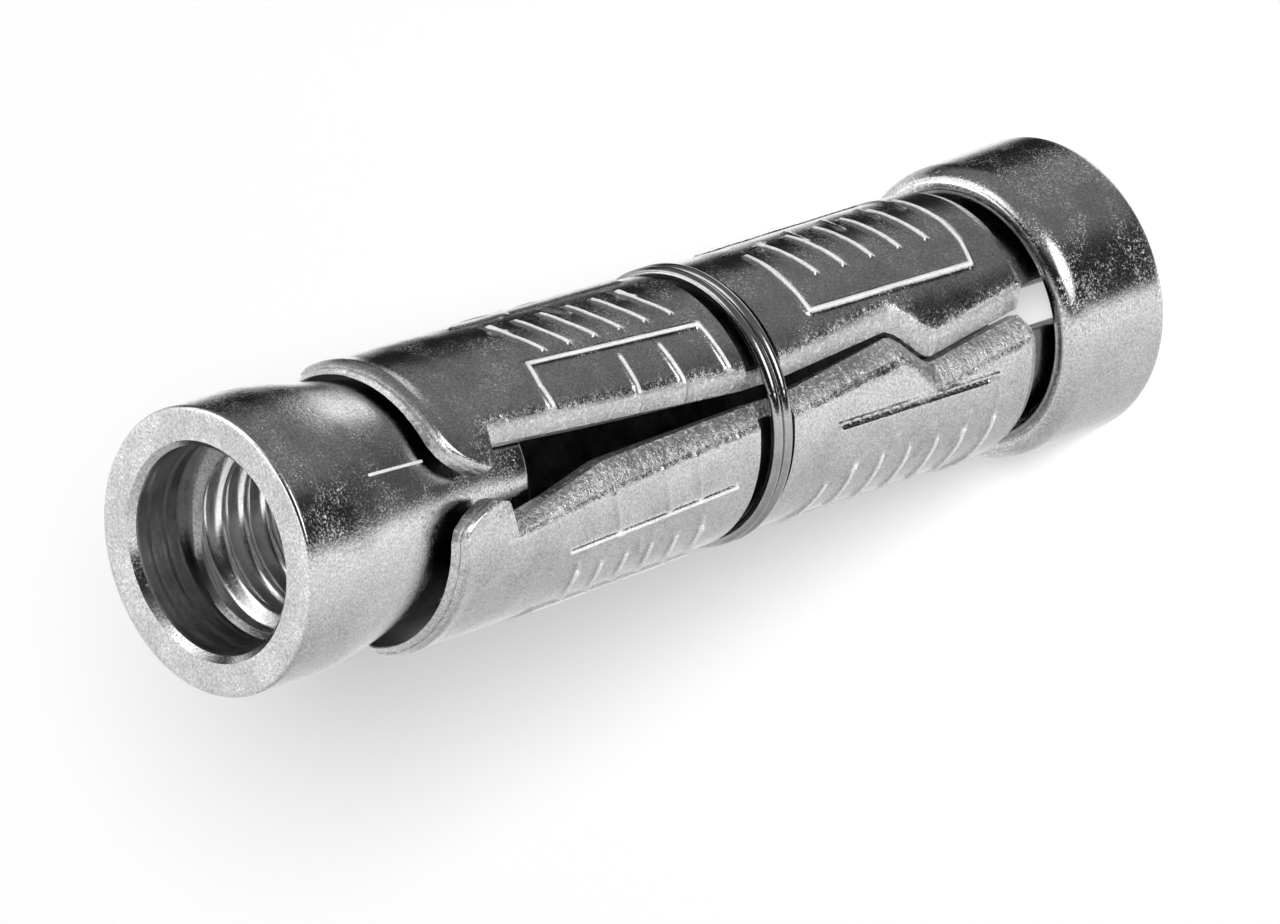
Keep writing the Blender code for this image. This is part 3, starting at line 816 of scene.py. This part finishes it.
def path(*points):
    """Strokes that join points given as degrees and millimetres of height."""
    places = [(degrees, height / 1000) for degrees, height in points]
    return list(zip(places, places[1:]))


def slanted_bars(near, far, low, high, count, slant):
    """A row of plain slanted strokes, with no meaning. Angles in degrees, heights in millimetres."""
    strokes = []
    for start in np.linspace(low, high, count):
        strokes += path((near, start), ((near + far) / 2, start + slant), (far, start + 1.5 * slant))
    return strokes


def emboss(angle, height, strokes, width):
    """How far each point is up on a raised stroke, from 0 to 1."""
    across, along = np.radians(angle) * BODY_RADIUS, height
    raised = np.zeros_like(across)
    for (start_angle, start_height), (end_angle, end_height) in strokes:
        start = np.array([radians(start_angle) * BODY_RADIUS, start_height])
        run = np.array([radians(end_angle) * BODY_RADIUS, end_height]) - start
        share = ((across - start[0]) * run[0] + (along - start[1]) * run[1]) / (run @ run)
        share = np.clip(share, 0.0, 1.0)
        away = np.hypot(across - start[0] - share * run[0], along - start[1] - share * run[1])
        raised = np.maximum(raised, np.exp(-(away / width) ** 2))
    return raised


def row_heights():
    """Heights of the rows below the lip, with extra ones at each change of form."""
    stops = [
        HOOK_FOOT, HOOK_TOP - RUNNING_GAP, HOOK_TOP + RUNNING_GAP, SHOULDER_HEIGHT - RUNNING_GAP,
        SHOULDER_HEIGHT, BODY_FOOT, WAVE_HEIGHTS[1], WAVE_HEIGHTS[2], GROOVE_LOW - GROOVE_RUNOUT,
        GROOVE_LOW, GROOVE_HIGH, CUT_FOOT, LIP_GRID_FOOT,
    ]
    heights = []
    for low, high in zip(stops, stops[1:]):
        step = TAIL_ROW_STEP if high < SHOULDER_HEIGHT else ROW_STEP
        heights += list(np.linspace(low, high, max(1, round((high - low) / step)) + 1)[:-1])
    return np.array(heights)


def skin_shares():
    """Shares across the skin, closer together towards its edges."""
    even = np.linspace(0, 1, SKIN_COLUMNS)
    return 0.25 * smooth(even) + 0.75 * even


def bore_shares():
    """Shares across the bore, which has one point for every few of the skin's."""
    return skin_shares()[::SKIN_PER_BORE]


def outside_shares():
    """Shares across a section's outside: near side, skin and far side."""
    return np.concatenate([np.zeros(SIDE_COLUMNS), skin_shares(), np.ones(SIDE_COLUMNS)])


def skin_surface(strokes, seed):
    """Angle, radius, height, wear and marking over a segment's outer skin, as rows of points."""
    shares = skin_shares()
    ear_span = SEGMENT_SPAN - FAR_EAR_ANGLE - NEAR_EAR_ANGLE
    tips = lip_height(NEAR_EAR_ANGLE + ear_span * shares)
    low_rows = np.repeat(row_heights()[:, None], SKIN_COLUMNS, axis=1)
    climb = np.linspace(0, 1, round(LIP_GRID_DEPTH / ROW_STEP) + 1)[:, None]
    height = np.concatenate([low_rows, LIP_GRID_FOOT + climb * (tips - LIP_GRID_FOOT)])
    to_lip = np.concatenate([np.ones_like(low_rows), (1 - climb) * (tips - LIP_GRID_FOOT)])

    near_outer = near_edges(height[:, 0])[0][:, None]
    far_outer = far_edges(height[:, -1])[0][:, None]
    angle = near_outer + (SEGMENT_SPAN - far_outer - near_outer) * shares
    from_near = np.radians(angle - near_outer) * BODY_RADIUS
    from_far = np.radians(SEGMENT_SPAN - far_outer - angle) * BODY_RADIUS
    to_edge = np.minimum(from_near, from_far)

    body = (height > BODY_FOOT).astype(float)
    radius = outer_radius(height) + LIP_FLARE * smooth(1 - to_lip / LIP_FLARE_LENGTH)
    radius -= LIP_ROUND * np.clip(1 - to_lip / LIP_ROUND_LENGTH, 0.0, 1.0) ** 2
    radius -= EDGE_DROP * np.clip(1 - to_edge / EDGE_ROLL, 0.0, 1.0) ** 2 * body
    mark = np.zeros_like(height)
    for group, rise, width in strokes:
        raised = emboss(angle, height, group, width) * body
        radius += rise * raised
        mark += np.clip(rise / STROKE_RISE, 0.0, 1.0) * raised

    across = np.radians(angle) * BODY_RADIUS
    patchy = 0.5 + 0.5 * lattice_noise(across / WEAR_PATCH, height / WEAR_PATCH, seed)
    inwards = np.clip(to_edge - CRUMPLE_START, 0.0, None)
    worn = np.exp(-(inwards / CRUMPLE_WIDTH) ** 2) * body * (0.35 + 0.65 * patchy)
    radius += DENT_DEPTH * lattice_noise(across / DENT_SIZE, height / DENT_SIZE, seed + 1) * body
    crumple = lattice_noise(across / CRUMPLE_SIZE, height / CRUMPLE_SIZE, seed + 2)
    radius += CRUMPLE_DEPTH * worn * crumple
    return angle, radius, height, worn, mark


def side_surface(skin_edge, edge_angles, bore_radius, seed):
    """A seam's face as rows of points: the bevel from the skin down to its foot, then the wall."""
    radius, height = skin_edge
    outer, inner = edge_angles
    foot = radius - np.minimum(BEVEL_DEPTH, (radius - bore_radius) / 2)
    bevel = np.linspace(0, 1, BEVEL_COLUMNS + 1)[1:]
    wall = np.linspace(0, 1, WALL_COLUMNS + 2)[1:-1]
    bevel_angle = outer[:, None] + (inner - outer)[:, None] * bevel
    bevel_radius = radius[:, None] + (foot - radius)[:, None] * bevel ** 1.4
    ripple = lattice_noise(bevel[None, :] + seed, height[:, None] / RIPPLE_SIZE, seed)
    bevel_radius += RIPPLE_DEPTH * ripple * np.sin(bevel * pi)
    wall_angle = np.repeat(inner[:, None], WALL_COLUMNS, axis=1)
    wall_radius = foot[:, None] + (bore_radius - foot)[:, None] * wall
    return (
        np.concatenate([bevel_angle, wall_angle], axis=1),
        np.concatenate([bevel_radius, wall_radius], axis=1),
        np.repeat(height[:, None], SIDE_COLUMNS, axis=1),
    )


def segment_rows(strokes, seed):
    """Places, wear and marking over a segment's closed sections: skin, far side, bore, near side."""
    angle, radius, height, worn, mark = skin_surface(strokes, seed)
    near_outer, near_inner = near_edges(height[:, 0])
    far_outer, far_inner = far_edges(height[:, -1])
    lip_share = np.clip((height - LIP_GRID_FOOT) / (LIP_HEIGHT - LIP_GRID_FOOT), 0.0, 1.0)
    bore_height = (height + LIP_FACE_RISE * lip_share)[:, ::SKIN_PER_BORE]
    bore_span = (SEGMENT_SPAN - far_inner - near_inner)[:, None]
    bore_angle = near_inner[:, None] + bore_span * bore_shares()
    bore_radius = inner_radius(bore_height)
    far = side_surface(
        (radius[:, -1], height[:, -1]), (SEGMENT_SPAN - far_outer, SEGMENT_SPAN - far_inner),
        bore_radius[:, -1], seed + 3,
    )
    near = side_surface(
        (radius[:, 0], height[:, 0]), (near_outer, near_inner), bore_radius[:, 0], seed + 4,
    )
    rows = [
        np.concatenate([skin, beyond, bore[:, ::-1], before[:, ::-1]], axis=1)
        for skin, beyond, bore, before in zip(
            (angle, radius, height), far, (bore_angle, bore_radius, bore_height), near
        )
    ]
    wear = np.ones_like(rows[0])
    wear[:, :SKIN_COLUMNS] = worn
    wear[:, SKIN_COLUMNS + SIDE_COLUMNS:-SIDE_COLUMNS] = 0.0
    marked = np.zeros_like(wear)
    marked[:, :SKIN_COLUMNS] = mark
    return (*rows, wear, marked)


def join_chains(outer, inner, outer_shares, inner_shares):
    """Triangles between two chains of points that run side by side."""
    faces = []
    i, j = 0, 0
    while i < len(outer) - 1 or j < len(inner) - 1:
        if j == len(inner) - 1 or (i < len(outer) - 1 and outer_shares[i + 1] <= inner_shares[j + 1]):
            faces.append((outer[i], outer[i + 1], inner[j]))
            i += 1
        else:
            faces.append((outer[i], inner[j + 1], inner[j]))
            j += 1
    return faces


def section_chains(first):
    """Point numbers of a section's outside and of its bore, both from the near side to the far."""
    count = SKIN_COLUMNS + BORE_COLUMNS + 2 * SIDE_COLUMNS
    ring = list(range(first, first + count))
    bore = ring[SKIN_COLUMNS + SIDE_COLUMNS:-SIDE_COLUMNS][::-1]
    return ring[-SIDE_COLUMNS:] + ring[:SKIN_COLUMNS + SIDE_COLUMNS], bore


def lip_face(rows, seed, first_new):
    """The lip's end face: new points between its outside and its bore, and all its faces."""
    angles, radii, heights = (row[-1] for row in rows[:3])
    last_row = (len(rows[0]) - 1) * len(angles)
    outside, bore = section_chains(last_row)
    outer = np.array([values[np.array(outside) - last_row] for values in (angles, radii, heights)])
    inner = np.array([values[np.array(bore) - last_row] for values in (angles, radii, heights)])
    shares = outside_shares()
    target = np.array([np.interp(shares, bore_shares(), values) for values in inner])
    places = []
    faces = []
    lower = outside
    for step in range(1, CAP_ROWS):
        share = step / CAP_ROWS
        angle, radius, height = outer + (target - outer) * share
        height = height + LIP_ROUND * np.sin(min(share / LIP_ROUND_SHARE, 1.0) * pi / 2)
        height = height - LIP_CREASE * np.exp(-((share - LIP_CREASE_PLACE) / LIP_CREASE_SHARE) ** 2)
        height = height + LIP_GRAIN_DEPTH * lattice_noise(angle * 0.6, radius / LIP_GRAIN_SIZE, seed)
        places.append((angle, radius, height))
        upper = list(range(first_new, first_new + len(outside)))
        first_new += len(outside)
        faces += [(lower[i], lower[i + 1], upper[i + 1], upper[i]) for i in range(len(outside) - 1)]
        faces += [(bore[0], lower[0], upper[0]), (lower[-1], bore[-1], upper[-1])]
        lower = upper
    faces += join_chains(lower, bore, shares, bore_shares())
    return np.concatenate([np.array(place) for place in places], axis=1), faces


def build_segment(index, strokes, materials):
    seed = 10 * index + 5
    rows = segment_rows(strokes, seed)
    count, columns = rows[0].shape
    cap, cap_faces = lip_face(rows, seed + 6, count * columns)
    outside, bore = section_chains(0)
    foot_faces = join_chains(outside, bore, outside_shares(), bore_shares())

    angles, radii, heights = (np.concatenate([row.ravel(), extra]) for row, extra in zip(rows, cap))
    seam = radians(FIRST_SEAM + SEGMENT_SPAN * index)
    points = around(radii, np.radians(angles) + seam, heights)
    kinds = np.full((count - 1, columns), SKIN)
    kinds[:, SKIN_COLUMNS - 1:SKIN_COLUMNS + SIDE_COLUMNS] = SHEARED
    kinds[:, -SIDE_COLUMNS - 1:] = SHEARED
    kinds[:, SKIN_COLUMNS + SIDE_COLUMNS:-SIDE_COLUMNS - 1] = PAINTED_SHADE
    # The groove under the ring takes the bore's painted shade too.
    middle = rows[2][:-1, 0]
    in_groove = (middle >= GROOVE_LOW - 1e-6) & (middle < GROOVE_HIGH)
    kinds[np.ix_(in_groove, np.arange(SKIN_COLUMNS - 1))] = PAINTED_SHADE
    face_kinds = list(kinds.ravel()) + [SHEARED] * (len(cap_faces) + len(foot_faces))
    wear, marked = (
        np.concatenate([row.ravel(), np.full(cap.shape[1], at_lip)])
        for row, at_lip in zip(rows[3:], (LIP_WEAR, 0.0))
    )
    obj = mesh_object(
        f"pressed_segment_{index + 1}", points,
        ring_faces(count, columns, False) + cap_faces + foot_faces,
        materials, SHELL_FRAME, face_kinds, edge=wear, mark=marked,
    )
    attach(obj, f"segment_{index + 1}")
    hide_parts(f"shield_segment_{index + 1}")


def near_strokes():
    """Plain frames and bars over the near half of a segment."""
    front = path((21, 41.8), (30, 41.9), (41, 41.6), (36.4, 30.0), (15, 29.7))
    front += path((15.5, 36.0), (32, 36.0)) + path((13.4, 32.9), (32, 33.2))
    front += slanted_bars(46, 68, 31.0, 40.0, 6, 0.6)
    rear = path((67, 22.9), (47, 23.0), (27.3, 22.9), (25.7, 11.4), (37, 11.1), (50, 11.0), (76, 11.2))
    rear += slanted_bars(44, 74, 12.9, 20.8, 5, 0.25)
    return front + rear


def far_strokes():
    """Fainter bars over the far half of a segment, and an open frame beside the cut line."""
    front = path((86, 30.2), (106, 30.1))
    front += path((85, 32.8), (104, 33.2)) + path((85, 35.0), (103, 35.6)) + path((80, 38.4), (99, 39.2))
    front += slanted_bars(64, 73, 31.5, 40.5, 3, 0.4)
    rear = path((96.8, 23), (96.5, 11.4), (84, 11.3), (67, 11.7))
    rear += path((77, 20.6), (69, 21.7)) + slanted_bars(82, 66, 13.2, 18.4, 3, 0.3)
    return front + rear


def line_strokes():
    """A raised line along the far half of a segment."""
    return path((80.5, 41.9), (82, 36.2), (83.8, 30.1))


def cut_strokes():
    """One long cut line, over the far half of a segment."""
    return path((95.3, 22.6), (95.0, 12.0))


def build_segments():
    materials = [pressed_zinc(), sheared_steel(), painted_shade_bore()]
    strokes = (
        (near_strokes(), STROKE_RISE, STROKE_WIDTH),
        (line_strokes(), LINE_RISE, STROKE_WIDTH),
        (far_strokes(), FAINT_RISE, STROKE_WIDTH),
        (cut_strokes(), CUT_RISE, CUT_WIDTH),
    )
    for index in range(SEGMENT_COUNT):
        build_segment(index, strokes, materials)


# Floor, backdrop, studio, lights and camera


def plain_surface(name, grey, glow):
    material = bpy.data.materials.new(name)
    material.use_nodes = True
    shader = material.node_tree.nodes["Principled BSDF"]
    shader.inputs["Base Color"].default_value = (grey, grey, grey, 1.0)
    shader.inputs["Roughness"].default_value = 0.9
    shader.inputs["Specular IOR Level"].default_value = 0.0
    shader.inputs["Emission Color"].default_value = (1.0, 1.0, 1.0, 1.0)
    shader.inputs["Emission Strength"].default_value = glow
    return material


def build_floor():
    """A pale light table, so that its shadows stay soft and pale."""
    mesh = bpy.data.meshes.new("floor")
    corners = [(x * ROOM_RADIUS, y * ROOM_RADIUS, 0) for x, y in ((-1, -1), (1, -1), (1, 1), (-1, 1))]
    mesh.from_pydata(corners, [], [(0, 1, 2, 3)])
    mesh.materials.append(plain_surface("pale_floor", 0.8, 0.5))
    floor = new_object("floor", mesh)
    floor.visible_glossy = False


def build_backdrop():
    """A pale dome round the floor. Only the camera sees it, so it lights nothing."""
    mesh = bpy.data.meshes.new("backdrop")
    model = bmesh.new()
    bmesh.ops.create_uvsphere(model, u_segments=48, v_segments=24, radius=ROOM_RADIUS)
    model.to_mesh(mesh)
    model.free()
    mesh.materials.append(plain_surface("pale_backdrop", 0.0, 0.97))
    dome = new_object("backdrop", mesh)
    for kind in ("diffuse", "glossy", "transmission", "shadow"):
        setattr(dome, f"visible_{kind}", False)


def in_scene(direction):
    """A direction of the shield's frame, turned into the scene's."""
    return NUT_FRAME.to_3x3() @ direction


def soft_box_direction():
    """Where the soft box hangs: under the camera, a little to its side."""
    return (outward(CAMERA_BEARING + radians(8)) + Vector((0, 0, -0.12))).normalized()


def top_light_direction():
    """Where the top light hangs: over the nut's end, behind it."""
    return (outward(CAMERA_BEARING + radians(146)) + Vector((0, 0, 1.53))).normalized()


def room_level(nodes, rise):
    """The pale table, the dark horizon and the grey room over it, by their rise."""
    ramp = nodes.add("ShaderNodeValToRGB", {0: nodes.ranged(rise, -1.0, 1.0)})
    while len(ramp.color_ramp.elements) < len(TABLE_STOPS):
        ramp.color_ramp.elements.new(0.5)
    for element, (place, level) in zip(ramp.color_ramp.elements, TABLE_STOPS):
        element.position = (place + 1) / 2
        element.color = (level, level, level, 1.0)
    return nodes.add("ShaderNodeRGBToBW", {0: ramp.outputs["Color"]}).outputs[0]


def build_studio():
    """What the metal mirrors: a room with a pale table, a far wall and four lamps."""
    world = bpy.data.worlds.new("studio")
    bpy.context.scene.world = world
    world.use_nodes = True
    world.cycles_visibility.diffuse = False
    nodes = Nodes(world.node_tree)
    view = nodes.add("ShaderNodeTexCoord").outputs["Generated"]
    rise, facing, across = (
        nodes.along(view, in_scene(outward(bearing)))
        for bearing in (STUDIO_UP_BEARING, CAMERA_BEARING, CAMERA_BEARING + pi / 2)
    )
    axial = nodes.along(view, in_scene(Vector((0, 0, 1))))

    wall = nodes.ranged(facing, -0.58, -0.72)
    soft_box = nodes.ranged(nodes.along(view, in_scene(soft_box_direction())), 0.92, 0.97)
    top_light = nodes.ranged(nodes.along(view, in_scene(top_light_direction())), 0.945, 0.98)
    side_light = nodes.maths("MULTIPLY", nodes.ranged(axial, 0.3, 0.5), nodes.ranged(across, 0.5, 0.62))
    side_light = nodes.maths("MULTIPLY", side_light, nodes.ranged(facing, 0.45, 0.2))
    behind = nodes.maths("MULTIPLY", nodes.ranged(axial, -0.74, -0.8), nodes.ranged(rise, 0.0, 0.1))
    back_light = nodes.ranged(facing, 0.1, -0.05, 0.1, 1.3)

    level = nodes.maths("MAXIMUM", nodes.maths("MULTIPLY", wall, WALL_LEVEL), room_level(nodes, rise))
    level = nodes.maths("MULTIPLY_ADD", soft_box, SOFT_BOX_LEVEL, level)
    level = nodes.maths("MULTIPLY_ADD", side_light, SIDE_LIGHT_LEVEL, level)
    level = nodes.maths("MULTIPLY_ADD", top_light, TOP_LIGHT_LEVEL, level)
    level = nodes.maths("MULTIPLY_ADD", behind, back_light, level)
    background = world.node_tree.nodes["Background"]
    background.inputs["Color"].default_value = (1.0, 1.0, 1.0, 1.0)
    nodes.set(background.inputs["Strength"], level)


def camera_axes():
    """The camera's right, up and back directions, in the shield's frame."""
    facing = outward(CAMERA_BEARING)
    across = outward(CAMERA_BEARING + pi / 2)
    back = facing * cos(CAMERA_ELEVATION) + Vector((0, 0, 1)) * sin(CAMERA_ELEVATION)
    level_up = Vector((0, 0, 1)) * cos(CAMERA_ELEVATION) - facing * sin(CAMERA_ELEVATION)
    right = across * cos(CAMERA_ROLL) + level_up * sin(CAMERA_ROLL)
    return right, back.cross(right), back


def build_lights():
    """A soft key over the camera's shoulder, for the floor and the chalky marks only. The marks' whiteness
    is partly a painted highlight.
    """
    right, up, back = camera_axes()
    direction = in_scene((back + up * 0.06 - right * 0.02).normalized())
    data = bpy.data.lights.new("key", "SUN")
    data.energy = KEY_STRENGTH
    data.angle = KEY_WIDTH
    light = new_object("key", data)
    light.rotation_mode = "QUATERNION"
    light.rotation_quaternion = direction.to_track_quat("Z", "Y")
    light.visible_glossy = False


def build_camera():
    data = bpy.data.cameras.new("camera")
    data.lens = CAMERA_LENS
    data.sensor_width = 36.0
    data.clip_start, data.clip_end = 0.05, 10.0
    camera = new_object("camera", data)
    across = outward(CAMERA_BEARING + pi / 2)
    target = across * CAMERA_TARGET_SIDE + Vector((0, 0, CAMERA_TARGET_HEIGHT))
    axes = camera_axes()
    turn = Matrix(axes).transposed().to_4x4()
    camera.matrix_world = NUT_FRAME @ Matrix.Translation(target + axes[2] * CAMERA_DISTANCE) @ turn
    bpy.context.scene.camera = camera


def build():
    scene = bpy.context.scene
    scene.view_settings.view_transform = "Standard"
    build_ferrule()
    build_nut()
    build_ring()
    build_segments()
    build_floor()
    build_backdrop()
    build_studio()
    build_lights()
    build_camera()


build()
